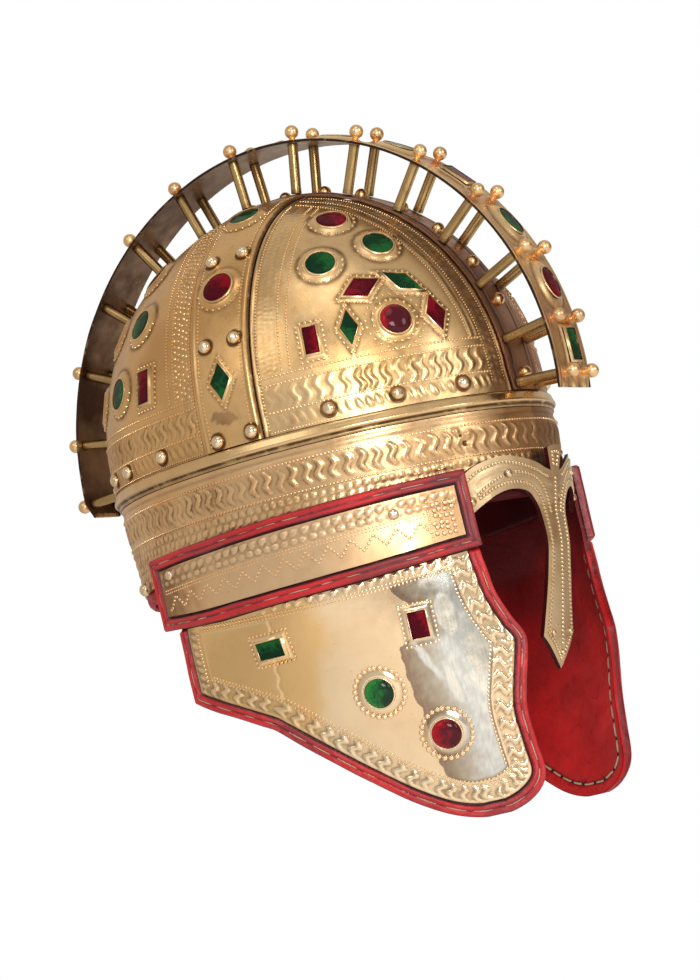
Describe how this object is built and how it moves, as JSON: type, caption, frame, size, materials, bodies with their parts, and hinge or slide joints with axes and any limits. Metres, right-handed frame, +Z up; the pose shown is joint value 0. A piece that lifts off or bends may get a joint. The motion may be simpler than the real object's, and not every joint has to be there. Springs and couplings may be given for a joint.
{
  "type": "late roman ridge helmet",
  "caption": "Late Roman ridge helmet with a jewelled crest hoop on posts, a nasal guard, side plates and leather-backed cheek guards, worn on the head.",
  "frame": {"origin": "the point of the lining's crown that rests on top of the head", "axes": "+Z up, the wearer looks along -Y, +X towards the wearer's left"},
  "size_m": [0.2248, 0.3271, 0.3883],
  "materials": {
    "brass": "embossed and polished, with brown tarnish in the recesses",
    "dark_brass": "tarnished brown",
    "red_leather": "creased satin",
    "dark_leather": "dull",
    "ruby": "polished",
    "emerald": "polished"
  },
  "bodies": {
    "root": {"brow_band": "brass", "brow_ruby_left": "ruby", "brow_ruby_right": "ruby", "cheek_emerald_bar_left": "emerald", "cheek_emerald_bar_right": "emerald", "cheek_emerald_left": "emerald", "cheek_emerald_right": "emerald", "cheek_leather_left": "red_leather", "cheek_leather_right": "red_leather", "cheek_plate_left": "brass", "cheek_plate_right": "brass", "cheek_ruby_bar_left": "ruby", "cheek_ruby_bar_right": "ruby", "cheek_ruby_left": "ruby", "cheek_ruby_right": "ruby", "crest_hoop": "dark_brass", "crest_post_01_left": "brass", "crest_post_01_right": "brass", "crest_post_02_left": "brass", "crest_post_02_right": "brass", "crest_post_03_left": "brass", "crest_post_03_right": "brass", "crest_post_04_left": "brass", "crest_post_04_right": "brass", "crest_post_05_left": "brass", "crest_post_05_right": "brass", "crest_post_06_left": "brass", "crest_post_06_right": "brass", "crest_post_07_left": "brass", "crest_post_07_right": "brass", "crest_post_08_left": "brass", "crest_post_08_right": "brass", "crest_post_09_left": "brass", "crest_post_09_right": "brass", "crest_post_10_left": "brass", "crest_post_10_right": "brass", "crest_post_11_left": "brass", "crest_post_11_right": "brass", "crest_post_12_left": "brass", "crest_post_12_right": "brass", "crest_post_13_left": "brass", "crest_post_13_right": "brass", "crest_post_14_left": "brass", "crest_post_14_right": "brass", "front_plate_left": "brass", "front_plate_right": "brass", "leather_lining": "dark_leather", "nasal_guard": "brass", "rear_plate_left": "brass", "rear_plate_right": "brass", "ridge_strip": "dark_brass", "rim_bead": "brass", "side_band_left": "brass", "side_band_right": "brass", "side_strip_leather_left": "red_leather", "side_strip_leather_right": "red_leather", "side_strip_plate_left": "brass", "side_strip_plate_right": "brass"}
  },
  "joints": []
}
